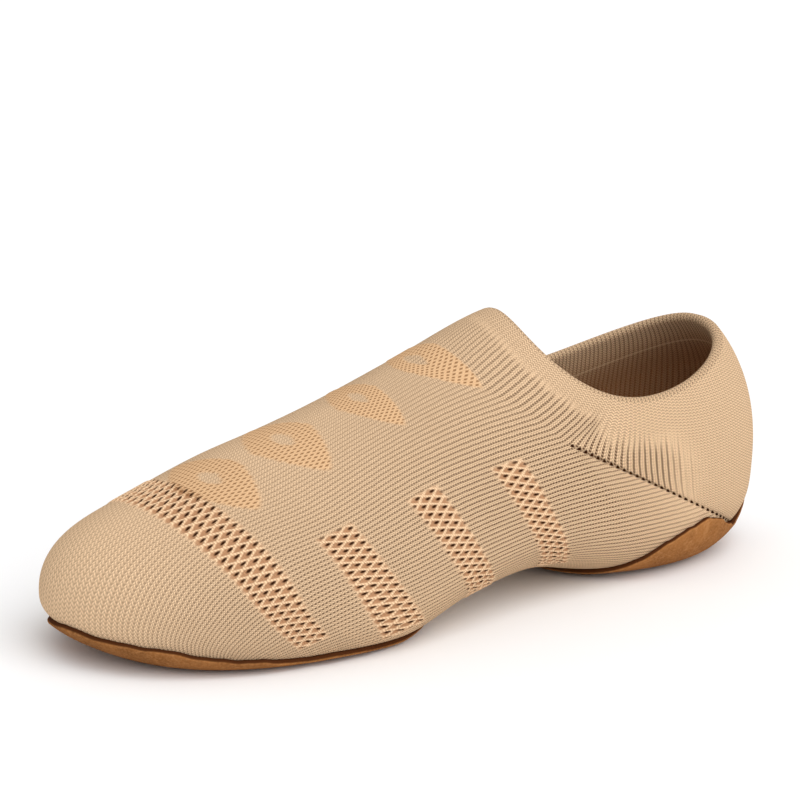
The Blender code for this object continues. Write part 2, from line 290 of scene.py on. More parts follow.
def section(x):
    """The sock's cross section at each x."""
    at = column(SECTIONS, SECTION_COLUMNS, "at")
    units = {
        "centre": BALL_WIDTH,
        "half": BALL_WIDTH,
        "under": THROAT_HEIGHT,
        "belly": THROAT_HEIGHT,
        "top": THROAT_HEIGHT,
        "square_low": 1.0,
        "square_high": 1.0,
    }
    share = x / LENGTH + 0.5
    return {
        name: unit * smooth(at, column(SECTIONS, SECTION_COLUMNS, name), share)
        for name, unit in units.items()
    }


def ends(x):
    """How far each x has gone into the rounded heel or toe."""
    heel = np.clip((HEEL_ROUND - LENGTH / 2 - x) / HEEL_ROUND, 0, None)
    toe = np.clip((x - LENGTH / 2 + TOE_ROUND) / TOE_ROUND, 0, None)
    return heel + toe


def sock(points):
    """Below zero inside the sock's outer face and above zero outside it."""
    x, y, z = points[..., 0], points[..., 1], points[..., 2]
    cut = section(x)
    across = np.abs(y - cut["centre"]) / cut["half"]
    plan = (across**END_POWER + ends(x) ** END_POWER) ** (1 / END_POWER)
    upper_half = z > cut["belly"]
    reach = np.where(upper_half, cut["top"] - cut["belly"], cut["belly"] - cut["under"])
    rise = np.abs(z - cut["belly"]) / reach
    power = np.where(upper_half, cut["square_high"], cut["square_low"])
    shell = FIELD_SCALE * ((plan**power + rise**power) ** (1 / power) - 1)
    ground = FLOOR - z
    near = np.clip(FLOOR_BLEND - np.abs(shell - ground), 0, None)
    return np.maximum(shell, ground) + near**2 / (4 * FLOOR_BLEND)


def gradient(points):
    """How fast the sock's field changes along each axis."""
    nudge = 0.02
    steps = np.eye(3) * nudge
    rise = [sock(points + move) - sock(points - move) for move in steps]
    return np.stack(rise, axis=-1) / (2 * nudge)


def outward(points):
    """Unit directions that point straight out of the sock's face."""
    rise = gradient(points)
    return rise / np.linalg.norm(rise, axis=-1, keepdims=True)


def land(eyes, ways):
    """Where each line of sight from inside meets the sock's outer face."""
    near = np.zeros(ways.shape[:-1])
    far = np.full(ways.shape[:-1], LENGTH)
    ways = ways / np.linalg.norm(ways, axis=-1, keepdims=True)
    for _ in range(32):
        middle = (near + far) / 2
        inside = sock(eyes + ways * middle[..., None]) < 0
        near = np.where(inside, middle, near)
        far = np.where(inside, far, middle)
    return eyes + ways * near[..., None]


def settle(points):
    """Slide points that lie near the sock onto its outer face."""
    for _ in range(10):
        rise = gradient(points)
        points = points - rise * (sock(points) / np.sum(rise * rise, axis=-1))[..., None]
    return points


def loop(row, turn):
    """The course that a row of the table describes, at the given turns."""
    _, low_x, low_z, top_x, top_z, half, dip_x, dip_z, from_x, from_z = row
    side = np.sin(turn)
    along = (1 + np.cos(turn)) / 2
    eye_x = from_x * LENGTH / 2
    eye = np.array([eye_x, section(np.array([eye_x]))["centre"][0], from_z * THROAT_HEIGHT])
    x = (low_x + (top_x - low_x) * along + dip_x * side**2) * LENGTH / 2
    z = (low_z + (top_z - low_z) * along + dip_z * side**2) * THROAT_HEIGHT
    aims = np.stack([x, eye[1] + half * BALL_WIDTH * side, z], axis=-1)
    return land(np.broadcast_to(eye, aims.shape), aims - eye)


def foot_tube(turn):
    """Loops of the foot tube, evenly spaced on their longer side."""
    at = column(COURSES, COURSE_COLUMNS, "at")

    def rows(shares):
        read = [smooth(at, column(COURSES, COURSE_COLUMNS, name), shares) for name in COURSE_COLUMNS[1:]]
        return np.stack([shares, *read], axis=-1)

    fine = np.linspace(at[0], at[-1], 1500)
    row = rows(fine)
    low = np.hypot(np.diff(row[:, 1]) * LENGTH / 2, np.diff(row[:, 2]) * THROAT_HEIGHT)
    top = np.hypot(np.diff(row[:, 3]) * LENGTH / 2, np.diff(row[:, 4]) * THROAT_HEIGHT)
    run = np.concatenate([[0], np.cumsum(np.maximum(low, top))])
    steps = np.linspace(0, run[-1], MESH_FOOT + 1)
    steps[0] = TOE_START * steps[1]
    return np.stack([loop(tuple(one), turn) for one in rows(np.interp(steps, run, fine))])


def arc(points):
    """Distance run along a line of points."""
    return np.concatenate([[0], np.cumsum(np.linalg.norm(np.diff(points, axis=0), axis=-1))])


def hermite(start, end, leave, arrive, t):
    """Smooth lines from start to end with the given directions at either end."""
    chord = np.linalg.norm(end - start, axis=-1, keepdims=True)
    t = t[:, None, None]
    return (
        (2 * t**3 - 3 * t**2 + 1) * start
        + (t**3 - 2 * t**2 + t) * chord * leave
        + (3 * t**2 - 2 * t**3) * end
        + (t**3 - t**2) * chord * arrive
    )


def unit(vectors):
    """The same directions at length one."""
    return vectors / np.maximum(np.linalg.norm(vectors, axis=-1, keepdims=True), 1e-9)


def resampled(line, known, wanted):
    """Points of a line where a value known along it takes the wanted values."""
    return np.stack([np.interp(wanted, known, line[:, axis]) for axis in range(3)], axis=-1)


def gore_side(first, side):
    """The eyelet line on one side of the heel, a point for each point where the foot's end course starts.

    first: the foot's end course on this side, from the eyelet line's start to the sole's middle.
    """
    psi = np.linspace(0, GORE_TURN, 400)
    centre = section(np.array([GORE_EYE_X]))["centre"][0]
    eye = np.array([GORE_EYE_X, centre, GORE_AT_ZERO + GORE_SLOPE * GORE_EYE_X])
    back = unit(np.array([-1.0, 0.0, -GORE_SLOPE]))
    ways = np.cos(psi)[:, None] * back + np.sin(psi)[:, None] * np.array([0.0, side, 0.0])
    curve = land(np.broadcast_to(eye, ways.shape), ways)
    height = curve[:, 2]
    wanted = first[:, 2].copy()
    low = np.argmax(wanted < GORE_LOW)
    share = np.linspace(1, 0, len(wanted) - low + 1)[1:]
    at = np.interp(wanted, height, psi)
    at[low:] = np.interp(wanted[low - 1], height, psi) * share
    return resampled(curve, psi, at)


def rim_side(gore, turn_start, side):
    """The collar's edge on one side of the heel, leaning back from the same share of the eyelet line."""
    share = arc(gore)
    share = (share / share[-1]) ** REAR_LEAN
    turns = np.linspace(turn_start, math.pi, 300)
    edge = loop(COLLAR_EDGE, turns if side > 0 else 2 * math.pi - turns)
    run = arc(edge)
    return resampled(edge, run, share * run[-1])


def lay_out():
    """The loops of the foot tube, heel pocket and ankle, and the columns where the pocket starts and ends."""
    turn = 2 * math.pi * np.arange(MESH_AROUND) / MESH_AROUND
    foot = foot_tube(turn)
    last = foot[-1]
    half = MESH_AROUND // 2
    above = last[:, 2] - GORE_AT_ZERO - GORE_SLOPE * last[:, 0] > 0
    start_left = int(np.argmin(above[: half + 1]))
    start_right = MESH_AROUND - int(np.argmin(above[::-1][: half + 1])) - 1
    gore = last.copy()
    rim_turn = np.where(turn < math.pi, turn, turn - 2 * math.pi)
    rim_turn = np.sign(rim_turn) * np.minimum(np.abs(rim_turn), turn[start_left]) * RIM_START
    rim = loop(COLLAR_EDGE, rim_turn)
    left = gore_side(last[start_left : half + 1], 1.0)
    right = gore_side(last[start_right : half - 1 : -1], -1.0)
    gore[start_left : half + 1] = left
    gore[start_right:half:-1] = right[:-1]
    rim[start_left : half + 1] = rim_side(left, turn[start_left] * RIM_START, 1.0)
    rim[start_right:half:-1] = rim_side(right, turn[start_left] * RIM_START, -1.0)[:-1]
    gore = settle(gore)
    gore[[start_left, start_right]] = last[[start_left, start_right]]
    rim = settle(rim)

    inset = unit(gore - last)
    pocket = settle(hermite(last, gore, inset, inset, np.linspace(0, 1, MESH_POCKET + 1)))

    # Front wales carry on from the foot tube, rear wales rise from the eyelets, and others lie between
    places = np.arange(MESH_AROUND)
    rear = step(start_left - 6, start_left + 8, places)
    rear = rear * (1 - step(start_right - 8, start_right + 6, places))
    along = unit(np.roll(rim, -1, axis=0) - np.roll(rim, 1, axis=0))
    up = unit(np.cross(along, outward(rim)))
    up = np.where(np.sum(up * (rim - gore), axis=-1, keepdims=True) < 0, -up, up)
    chord = unit(rim - gore)
    front_leave = unit(2 * unit(last - foot[-2]) + chord)
    leave = unit(front_leave + (unit(chord + REAR_LEAVE) - front_leave) * rear[:, None])
    ankle = hermite(gore, rim, ANKLE_PULL * leave, ANKLE_PULL * up, np.linspace(0, 1, MESH_ANKLE + 1))
    return foot, pocket, settle(ankle), start_left, start_right


def wrap(grid):
    """The grid with its first column repeated past its last."""
    return np.concatenate([grid, grid[:, :1]], axis=1)


def run_along(grid):
    """Distance run down each column of a grid of points."""
    run = np.zeros(grid.shape[:2])
    run[1:] = np.cumsum(np.linalg.norm(np.diff(grid, axis=0), axis=-1), axis=0)
    return run


def strands(u, v):
    """One on the strands of the mesh stripes' net and zero in its openings."""
    first = u / 2 + v / (2 * NET_COURSES) + 0.5
    second = u / 2 - v / (2 * NET_COURSES) + 0.5
    first = first - np.floor(first) - 0.5
    second = second - np.floor(second) - 0.5
    return 1 - step(0.08, 0.30, 0.5 - np.maximum(np.abs(first), np.abs(second)))


def box_mask(u, v, low_u, high_u, low_v, high_v, soft_u, soft_v):
    """One inside a box of stitches and zero outside it, with soft sides."""
    across = step(low_u - soft_u, low_u + soft_u, u) * (1 - step(high_u - soft_u, high_u + soft_u, u))
    length = step(low_v - soft_v, low_v + soft_v, v) * (1 - step(high_v - soft_v, high_v + soft_v, v))
    return across * length


def from_ridge(u, total):
    """Wales away from the ridge, positive towards the outer side."""
    return (u + total / 2) % total - total / 2


def lagged(away, v):
    """Courses counted where they cross the ridge."""
    half = LAG_WALES / 2
    far = np.abs(away)
    held = np.where(far < half, far, half + half * np.tanh((far - half) / half))
    return v + np.interp(v, LAG_COURSES, LAG) * held**2


def stripes(away, v):
    """Where the net stripes lie, both sides of the foot."""
    mask = np.zeros_like(v)
    for first, columns, low, high in STRIPES:
        width = columns * NET_COURSES
        mask = np.maximum(mask, box_mask(np.abs(away), v - first, low, high, 0, width, 0.5, 0.7))
    return mask


def motif(away, v):
    """Raised lozenges with plain middles, in a row along the instep."""
    mask = np.zeros_like(v)
    for wale, course in MOTIF:
        reach = (np.abs(away - wale) / MOTIF_HALF[0]) ** MOTIF_POWER
        reach = reach + (np.abs(v - course) / MOTIF_HALF[1]) ** MOTIF_POWER
        mask = np.maximum(mask, step(0.12, 0.18, reach) * (1 - step(0.94, 1.02, reach)))
    return mask


def hump(value, middle, width):
    """A soft hump of height one."""
    return np.exp(-(((value - middle) / width) ** 2))


def spread(row, like):
    """A row or column of values repeated over a grid."""
    return np.broadcast_to(row, like.shape[:2])


class Knitting:
    """Counts of wales and courses that all patches share."""

    def __init__(self, foot, ankle, left, right):
        self.left = left
        self.right = right
        around = np.arange(MESH_AROUND + 1)
        self.rear = (around >= left) & (around <= right)
        self.behind = step(left, left + 9, around) * (1 - step(right - 9, right, around))
        widths = np.linalg.norm(np.diff(wrap(foot[MESH_FOOT // 3 :]), axis=1), axis=-1).mean(axis=0)
        self.wales = np.concatenate([[0], np.cumsum(widths)]) / WALE_PITCH
        self.total = 2 * round(self.wales[-1] / 2)
        self.wales *= self.total / self.wales[-1]
        rows = np.linalg.norm(np.diff(foot, axis=0), axis=-1).mean(axis=1)
        self.courses = np.concatenate([[0], np.cumsum(rows)]) / COURSE_PITCH
        self.collar = arc(wrap(ankle[-1:])[0]) / COLLAR_PITCH
        self.collar *= round(self.collar[-1]) / self.collar[-1]

    def patch(self, points, columns, v, collar_v, band, gap, gore, pinch):
        """A patch of knitting: a grid of points with everything its faces and its material need."""
        u = spread(self.wales[columns], points)
        away = from_ridge(u, self.total)
        v = lagged(away, v)
        net = stripes(away, v)
        tuck = motif(away, v)
        relief = net * (NET_STRAND * strands(u, v) - NET_SINK) + TUCK_RISE * tuck
        relief -= pinch * sum(depth * hump(gore, 0, width) for depth, width in PINCHES)
        fill = step(*HEEL_FILL_FROM_TO, points[..., 0])
        relief += HEEL_FILL * fill * hump(points[..., 2], HEEL_FILL_AT, HEEL_FILL_REACH)
        return {
            "points": points + outward(points) * relief[..., None],
            "foot_uv": np.stack([u, v], axis=-1),
            "collar_uv": np.stack([spread(self.collar[columns], points), collar_v], axis=-1),
            "band": band,
            "gap": gap,
            "net": net,
            "tuck": tuck,
            "gore": gore,
            "inside": 0 * gore,
        }

    def side(self, points):
        """Zero on the ridge and under the sole, one half way down each side."""
        return np.abs(np.sin(2 * math.pi * spread(self.wales, points) / self.total))


def foot_patch(knitting, foot):
    """The foot tube, from the toe to where the heel was turned."""
    courses = spread(knitting.courses[:, None], foot)
    forward = np.clip(courses / knitting.courses[-1], 0, 1)
    side = knitting.side(foot)
    gap = INSTEP_GAP + SIDE_GAP * side + WAIST_GAP * side * step(0.55, 0.95, forward)
    gap *= TOE_GAP + (1 - TOE_GAP) * step(0.05, 0.36, forward)
    none = np.zeros(foot.shape[:2])
    return knitting.patch(foot, slice(None), courses, none, none, gap, none + FAR, 0)


def pocket_patch(knitting, pocket):
    """The heel pocket, under the eyelets."""
    columns = slice(knitting.left, knitting.right + 1)
    run = run_along(pocket)
    courses = knitting.courses[-1] + run / COURSE_PITCH
    gap = POCKET_GAP[0] + (POCKET_GAP[1] - POCKET_GAP[0]) * step(0, 30, run)
    none = np.zeros(pocket.shape[:2])
    pinch = knitting.behind[None, columns]
    return knitting.patch(pocket, columns, courses, none, none, gap, run - run[-1], pinch)


def ankle_patch(knitting, ankle):
    """The ankle, from the foot tube and the eyelets up to the collar's edge."""
    run = run_along(ankle)
    to_edge = run[-1] - run
    behind = knitting.behind
    near_gore = (1 - step(10.0, 26.0, run)) * step(-85.0, -60.0, ankle[..., 0])
    band = 1 - step(5.0 + 3.0 * behind, 10.0 + 6.0 * behind, to_edge)
    band = np.maximum(band, behind * (1 - near_gore))
    low, high = REAR_GAP
    rear_gap = low + (high - low) * near_gore * step(6.0, 16.0, to_edge)
    low, high = FRONT_GAP
    front_gap = low + (high - low) * step(4.0, 10.0, to_edge) * (0.35 + 0.65 * knitting.side(ankle))
    gap = front_gap + (rear_gap - front_gap) * behind[None, :]
    gore = np.where(knitting.rear[None, :], run, FAR)
    courses = knitting.courses[-1] + run / COURSE_PITCH
    collar_v = to_edge / COURSE_PITCH
    return knitting.patch(ankle, slice(None), courses, collar_v, band, gap, gore, behind[None, :])


def band_patch(knitting, ankle):
    """The collar's rolled edge and the band folded down inside it."""
    normal = outward(ankle)
    run = run_along(ankle)
    to_edge = run[-1] - run
    depths = np.linspace(0, LIP_DEPTH, MESH_BAND + 1)
    walls = np.interp(depths, BAND_DEPTHS, BAND_WALLS)
    inner = np.zeros((len(depths), MESH_AROUND + 1, 3))
    for place in range(MESH_AROUND + 1):
        from_edge = to_edge[::-1, place]
        skin = resampled(ankle[::-1, place], from_edge, depths)
        lean = resampled(normal[::-1, place], from_edge, depths)
        inner[:, place] = skin - lean * walls[:, None]
    edge_normal = normal[-1]
    centre = (ankle[-1] + inner[0]) / 2
    rise = unit(ankle[-1] - ankle[-2])
    rise = unit(rise - edge_normal * np.sum(rise * edge_normal, axis=-1, keepdims=True))
    angles = np.linspace(0, math.pi, LIP_ROWS)[1:-1]
    lip = [
        centre + COLLAR_WALL / 2 * (math.cos(angle) * edge_normal + LIP_HEIGHT * math.sin(angle) * rise)
        for angle in angles
    ]
    points = np.concatenate([ankle[-1:], np.stack(lip), inner])
    round_lip = math.pi * COLLAR_WALL / 2
    down = np.concatenate([[0], -angles * COLLAR_WALL / 2, -round_lip - depths]) / COURSE_PITCH
    down = spread(down[:, None], points)
    one = np.ones(points.shape[:2])
    return {
        "points": points,
        "foot_uv": np.stack([spread(knitting.wales, points), down], axis=-1),
        "collar_uv": np.stack([spread(knitting.collar, points), down], axis=-1),
        "band": one,
        "gap": BAND_GAP * one,
        "net": 0 * one,
        "tuck": 0 * one,
        "gore": FAR * one,
        # Depth inside the collar, which sets the painted inside shade
        "inside": -down * COURSE_PITCH,
    }


def lining_patches(patches, grids):
    """The sock's inner face, plain knitting that lies one wall inside the outer face."""
    inside = []
    for patch, grid in zip(patches, grids):
        plain = dict(patch)
        plain["points"] = grid - outward(grid) * KNIT_WALL
        plain["net"] = 0 * patch["net"]
        plain["tuck"] = 0 * patch["tuck"]
        plain["gore"] = FAR + 0 * patch["gore"]
        # The lining takes the full painted inside shade
        plain["inside"] = DEEP + 0 * patch["gore"]
        inside.append(plain)
    ankle = inside[-1]
    ankle["gap"] = LINING_GAP + 0 * ankle["gap"]
    # The ankle's lining takes painted inside shade that grows with depth below the collar's edge
    ankle["inside"] = ankle["collar_uv"][..., 1] * COURSE_PITCH + math.pi / 2 * COLLAR_WALL
    return inside


def corner_values(value):
    """A grid's values at the four corners of each of its faces."""
    four = np.stack([value[:-1, :-1], value[:-1, 1:], value[1:, 1:], value[1:, :-1]], axis=2)
    return four.reshape((-1, 4) + value.shape[2:])


def weave(name, patches, left, right):
    """Join foot, pocket, ankle and any band, vertices shared at their rims and values kept per corner."""
    points = []
    index = []
    total = 0
    for number, patch in enumerate(patches):
        grid = patch["points"]
        is_pocket = number == 1
        rows = slice(min(number, 1), None)
        columns = slice(1, -1) if is_pocket else slice(0, -1)
        own = grid[rows, columns]
        ids = np.zeros(grid.shape[:2], dtype=np.int64)
        ids[rows, columns] = total + np.arange(own.shape[0] * own.shape[1]).reshape(own.shape[:2])
        if is_pocket:
            ids[0] = index[0][-1, left : right + 1]
            ids[:, 0] = ids[0, 0]
            ids[:, -1] = ids[0, -1]
        else:
            ids[rows, -1] = ids[rows, 0]
        if number == 2:
            ids[0] = index[0][-1]
            ids[0, left : right + 1] = index[1][-1]
        if number == 3:
            ids[0] = index[2][-1]
        points.append(own.reshape(-1, 3))
        total += own.shape[0] * own.shape[1]
        index.append(ids)
    points.append(points[0][:MESH_AROUND].mean(axis=0)[None])
    start = index[0][0]
    fan = np.stack([np.full(MESH_AROUND, total), start[1:], start[:-1]], axis=-1)
    quads = np.concatenate([corner_values(ids) for ids in index])
    values = {key: np.concatenate([corner_values(patch[key]) for patch in patches]) for key in CORNER_KEYS}
    return knit_piece(name, np.concatenate(points), quads, fan, values)


def new_piece(name, points, faces):
    """A smooth mesh object from millimetre points in the part's own place."""
    mesh = bpy.data.meshes.new(name)
    mesh.from_pydata((points - SEAT) * METRES, [], faces)
    mesh.polygons.foreach_set("use_smooth", np.ones(len(mesh.polygons), dtype=bool))
    mesh.update()
    piece = bpy.data.objects.new(name, mesh)
    bpy.context.scene.collection.objects.link(piece)
    return piece


def knit_piece(name, points, quads, fan, values):
    """A knitted piece with its corner values, its slim faces made triangles and its toe closed by a fan."""
    faces = []
    kept = []
    for number, face in enumerate(quads):
        picked = [place for place in range(4) if face[place] != face[place - 1]]
        if len(picked) < 3:
            continue
        faces.append(tuple(int(face[place]) for place in picked))
        kept.extend(4 * number + place for place in picked)
    faces.extend(tuple(int(place) for place in face) for face in fan)
    piece = new_piece(name, points, faces)
    for key, value in values.items():
        value = value.reshape((-1,) + value.shape[2:])[kept]
        value = np.concatenate([value, np.zeros((3 * len(fan),) + value.shape[1:])])
        value = value.astype(np.float32).ravel()
        if key.endswith("_uv"):
            piece.data.uv_layers.new(name=key).data.foreach_set("uv", value)
        else:
            piece.data.attributes.new(key, "FLOAT", "CORNER").data.foreach_set("value", value)
    return piece


class Graph:
    """Writes a material's arithmetic as linked nodes."""

    def __init__(self, name):
        self.material = bpy.data.materials.new(name)
        self.material.use_nodes = True
        self.tree = self.material.node_tree
        self.shader = self.tree.nodes["Principled BSDF"]

    def node(self, kind, **settings):
        """A new node with the given settings."""
        made = self.tree.nodes.new(kind)
        for key, value in settings.items():
            setattr(made, key, value)
        return made

    def put(self, socket, value):
        """Feed a socket from another node or with a constant."""
        if isinstance(value, bpy.types.NodeSocket):
            self.tree.links.new(value, socket)
        else:
            socket.default_value = value

    def math(self, operation, *values):
        """One step of arithmetic."""
        made = self.node("ShaderNodeMath", operation=operation)
        for socket, value in zip(made.inputs, values):
            self.put(socket, value)
        return made.outputs[0]

    def add(self, a, b):
        """The sum of two numbers."""
        return self.math("ADD", a, b)

    def sub(self, a, b):
        """The first number less the second."""
        return self.math("SUBTRACT", a, b)

    def times(self, a, b):
        """The product of two numbers."""
        return self.math("MULTIPLY", a, b)

    def larger(self, a, b):
        """The larger of two numbers."""
        return self.math("MAXIMUM", a, b)

    def size(self, a):
        """A number without its sign."""
        return self.math("ABSOLUTE", a)

    def centred(self, a):
        """What is left after the nearest lower whole number, from minus a half to a half."""
        return self.sub(self.math("FRACT", a), 0.5)

    def reach(self, a, b):
        """Distance from the origin of the point a, b."""
        return self.math("SQRT", self.add(self.times(a, a), self.times(b, b)))

    def wave(self, a):
        """From zero to one and back once per unit, one at whole numbers."""
        return self.add(self.times(self.math("COSINE", self.times(a, 2 * math.pi)), 0.5), 0.5)

    def fold(self, a):
        """One at whole numbers and zero half way between them, in straight lines."""
        return self.size(self.sub(self.times(self.math("FRACT", a), 2.0), 1.0))

    def ramp(self, value, low, high, to_low=0.0, to_high=1.0):
        """A soft step between two values, as a number of the given range."""
        made = self.node("ShaderNodeMapRange", interpolation_type="SMOOTHSTEP")
        for socket, given in zip(made.inputs, (value, low, high, to_low, to_high)):
            self.put(socket, given)
        return made.outputs[0]

    def blend(self, share, a, b):
        """A number between a and b."""
        made = self.node("ShaderNodeMix", data_type="FLOAT")
        self.put(made.inputs[0], share)
        self.put(made.inputs[2], a)
        self.put(made.inputs[3], b)
        return made.outputs[0]

    def tint(self, share, a, b):
        """A colour between a and b."""
        made = self.node("ShaderNodeMix", data_type="RGBA")
        self.put(made.inputs[0], share)
        for socket, given in ((made.inputs[6], a), (made.inputs[7], b)):
            self.put(socket, given if isinstance(given, bpy.types.NodeSocket) else (*given, 1.0))
        return made.outputs[2]

    def attribute(self, name):
        """A value that the mesh carries."""
        return self.node("ShaderNodeAttribute", attribute_name=name).outputs["Fac"]

    def uv(self, name):
        """The wale and the course counted by one of the mesh's layouts."""
        parts = self.node("ShaderNodeSeparateXYZ")
        self.put(parts.inputs[0], self.node("ShaderNodeUVMap", uv_map=name).outputs[0])
        return parts.outputs[0], parts.outputs[1]

    def noise(self, scale, detail=2.0, roughness=0.5, stretch=None):
        """Cloudy variation in the object's own place, from zero to one."""
        place = self.node("ShaderNodeTexCoord").outputs["Object"]
        if stretch:
            mapping = self.node("ShaderNodeMapping")
            self.put(mapping.inputs[0], place)
            mapping.inputs["Scale"].default_value = stretch
            place = mapping.outputs[0]
        made = self.node("ShaderNodeTexNoise")
        self.put(made.inputs["Vector"], place)
        for key, value in (("Scale", scale), ("Detail", detail), ("Roughness", roughness)):
            made.inputs[key].default_value = value
        return made.outputs["Fac"]

    def cover(self, colour, roughness, height, strength, distance):
        """Give the shader its colour, its roughness and a bump of the given height."""
        made = self.node("ShaderNodeBump")
        self.put(made.inputs["Height"], height)
        self.put(made.inputs["Strength"], strength)
        self.put(made.inputs["Distance"], distance)
        self.put(self.shader.inputs["Base Color"], colour)
        self.put(self.shader.inputs["Roughness"], roughness)
        self.put(self.shader.inputs["Normal"], made.outputs[0])
        return self.material


def stitches(graph, u, v):
    """Stockinette: the painted shade of its dotted gap lines, the small painted shade between its legs, and
    its height.
    """
    fold = graph.fold(u)
    half_row = graph.times(graph.math("FLOOR", graph.add(u, 0.5)), 0.5)
    row = graph.add(graph.times(v, ROWS_PER_COURSE), half_row)
    dot = graph.wave(row)
    slant = graph.wave(graph.add(row, graph.times(fold, 0.45)))
    # Painted shade along the gaps between wales, dotted by the stitches
    line = graph.times(graph.ramp(fold, 0.36, 0.80), graph.blend(dot, 0.55, 1.0))
    middle = graph.times(graph.ramp(fold, 0.36, 0.04), graph.blend(dot, 0.62, 0.25))
    line = graph.larger(line, middle)
    # Painted shade between the legs of each stitch
    legs = graph.sub(1.0, slant)
    height = graph.times(slant, graph.sub(1.0, graph.ramp(fold, 0.50, 0.92)))
    return line, legs, height


def net_openings(graph, u, v, net):
    """The net's openings, the twist of its strands and the painted shade of the hole in each opening."""
    half_u = graph.times(u, 0.5)
    half_v = graph.times(v, 0.5 / NET_COURSES)
    first = graph.centred(graph.add(half_u, graph.add(half_v, 0.5)))
    second = graph.centred(graph.add(graph.sub(half_u, half_v), 0.5))
    apart = graph.sub(first, second)
    widest = graph.larger(graph.size(first), graph.size(second))
    opening = graph.times(net, graph.ramp(graph.sub(0.5, widest), 0.03, 0.24))
    twist = graph.times(graph.times(net, graph.wave(graph.times(apart, 4.0))), 0.50)
    across = graph.times(graph.add(first, second), 3.2)
    along = graph.times(graph.sub(apart, 0.34), 3.1)
    # The hole in each opening, which takes painted shade
    hole = graph.times(net, graph.ramp(graph.reach(across, along), 1.25, 0.35))
    return opening, twist, hole


def tuck_gaps(graph, u, v, tuck):
    """Painted shade in the small gaps between the crossed stitches of the lozenges."""
    lean = graph.times(v, 0.25)
    crossed = graph.math("MINIMUM", graph.fold(graph.add(u, lean)), graph.fold(graph.sub(u, lean)))
    return graph.times(tuck, graph.ramp(crossed, 0.30, 0.85))


def eyelets(graph, u, gore):
    """One in each eyelet of the row at the heel, where the painted shade of a hole goes."""
    across = graph.times(graph.centred(u), 2.5)
    return graph.ramp(graph.reach(across, graph.times(gore, 0.85)), 1.0, 0.45)


def knit_material():
    """Knitted yarn: stitches, painted shade in its gaps, its holes and the inside of the shoe, net stripes,
    tuck lozenges and the heel's eyelets.
    """
    graph = Graph("knit_yarn")
    u, v = graph.uv("foot_uv")
    collar_u, collar_v = graph.uv("collar_uv")
    band = graph.attribute("band")
    gap = graph.attribute("gap")
    net = graph.attribute("net")
    tuck = graph.attribute("tuck")
    inside = graph.attribute("inside")
    wobble = graph.times(graph.sub(graph.noise(420.0, 1.0), 0.5), 0.22)
    u = graph.add(u, wobble)
    collar_u = graph.add(collar_u, wobble)

    line, legs, loops = (
        graph.blend(band, foot, collar)
        for foot, collar in zip(stitches(graph, u, v), stitches(graph, collar_u, collar_v))
    )
    opening, twist, hole = net_openings(graph, u, v, net)
    hole = graph.larger(hole, eyelets(graph, u, graph.attribute("gore")))
    tuck_gap_shade = tuck_gaps(graph, u, v, tuck)
    plain = graph.times(graph.sub(1.0, net), graph.sub(1.0, graph.times(tuck, 0.8)))
    # Painted shade of the gaps and of the legs, the legs' shade stronger on the collar band
    dark = graph.larger(graph.times(line, gap), graph.times(legs, graph.blend(band, 0.45, 0.62)))
    # Painted shade that grows deeper inside the shoe
    deep = graph.ramp(inside, 0.0, 24.0, 0.0, 0.66)
    # A lighter line at the hem's depth, where the painted inside shade is lifted towards the middle yarn
    hem = graph.ramp(graph.size(graph.sub(inside, HEM_DEPTH)), 0.55, 0.15, 0.0, 0.35)

    colour = graph.tint(graph.noise(900.0, 2.0), YARN_LIGHT, YARN_MIDDLE)
    colour = graph.tint(graph.times(tuck, 0.75), colour, YARN_TUCK)
    colour = graph.tint(graph.larger(graph.times(opening, 0.92), twist), colour, YARN_BACK)
    # Painted shade in the gaps and between the legs, left off the net and most of the lozenges
    colour = graph.tint(graph.times(dark, plain), colour, YARN_GAP_SHADE)
    # Painted shade in the lozenges' gaps
    colour = graph.tint(graph.times(tuck_gap_shade, 0.85), colour, YARN_TUCK_GAP_SHADE)
    # Painted shade in the net's holes and the heel's eyelets
    colour = graph.tint(hole, colour, YARN_HOLE_SHADE)
    # Painted inside shade
    colour = graph.tint(deep, colour, YARN_INSIDE_SHADE)
    # The lighter line at the hem's depth
    colour = graph.tint(hem, colour, YARN_MIDDLE)

    sunk = graph.times(line, graph.add(graph.times(gap, 0.6), 0.25))
    height = graph.times(graph.sub(graph.times(loops, 0.5), sunk), plain)
    height = graph.sub(height, graph.add(graph.times(opening, 0.8), graph.times(twist, 0.6)))
    height = graph.sub(height, graph.times(hole, 1.2))
    height = graph.sub(height, graph.times(tuck_gap_shade, 0.7))
    height = graph.add(height, graph.times(graph.noise(2500.0, 2.0, 0.6), 0.18))
    graph.shader.inputs["Specular IOR Level"].default_value = 0.0
    return graph.cover(colour, 0.85, height, 0.8, 0.00045)


def suede_material():
    """Brushed suede with a darker cut edge, clouds of nap and a few creases."""
    graph = Graph("suede_nap")
    clouds = graph.noise(55.0, 3.0, 0.6)
    nap = graph.noise(1400.0, 3.0, 0.7)
    folds = graph.noise(38.0, 4.0, 0.55, (1.0, 2.2, 1.0))
    crease = graph.ramp(graph.size(graph.sub(folds, 0.5)), 0.0, 0.012)
    colour = graph.tint(graph.ramp(clouds, 0.3, 0.7), SUEDE_DARK, SUEDE_LIGHT)
    colour = graph.tint(graph.times(graph.ramp(nap, 0.35, 0.7), 0.45), colour, SUEDE_TIP)
    colour = graph.tint(graph.times(graph.sub(1.0, crease), 0.35), colour, SUEDE_TIP)
    colour = graph.tint(graph.attribute("edge"), colour, SUEDE_CUT)
    height = graph.add(graph.times(clouds, 0.5), graph.times(crease, 0.25))
    height = graph.add(graph.times(nap, 0.5), height)
    graph.shader.inputs["Specular IOR Level"].default_value = 0.03
    return graph.cover(colour, 0.95, height, 0.6, 0.0006)


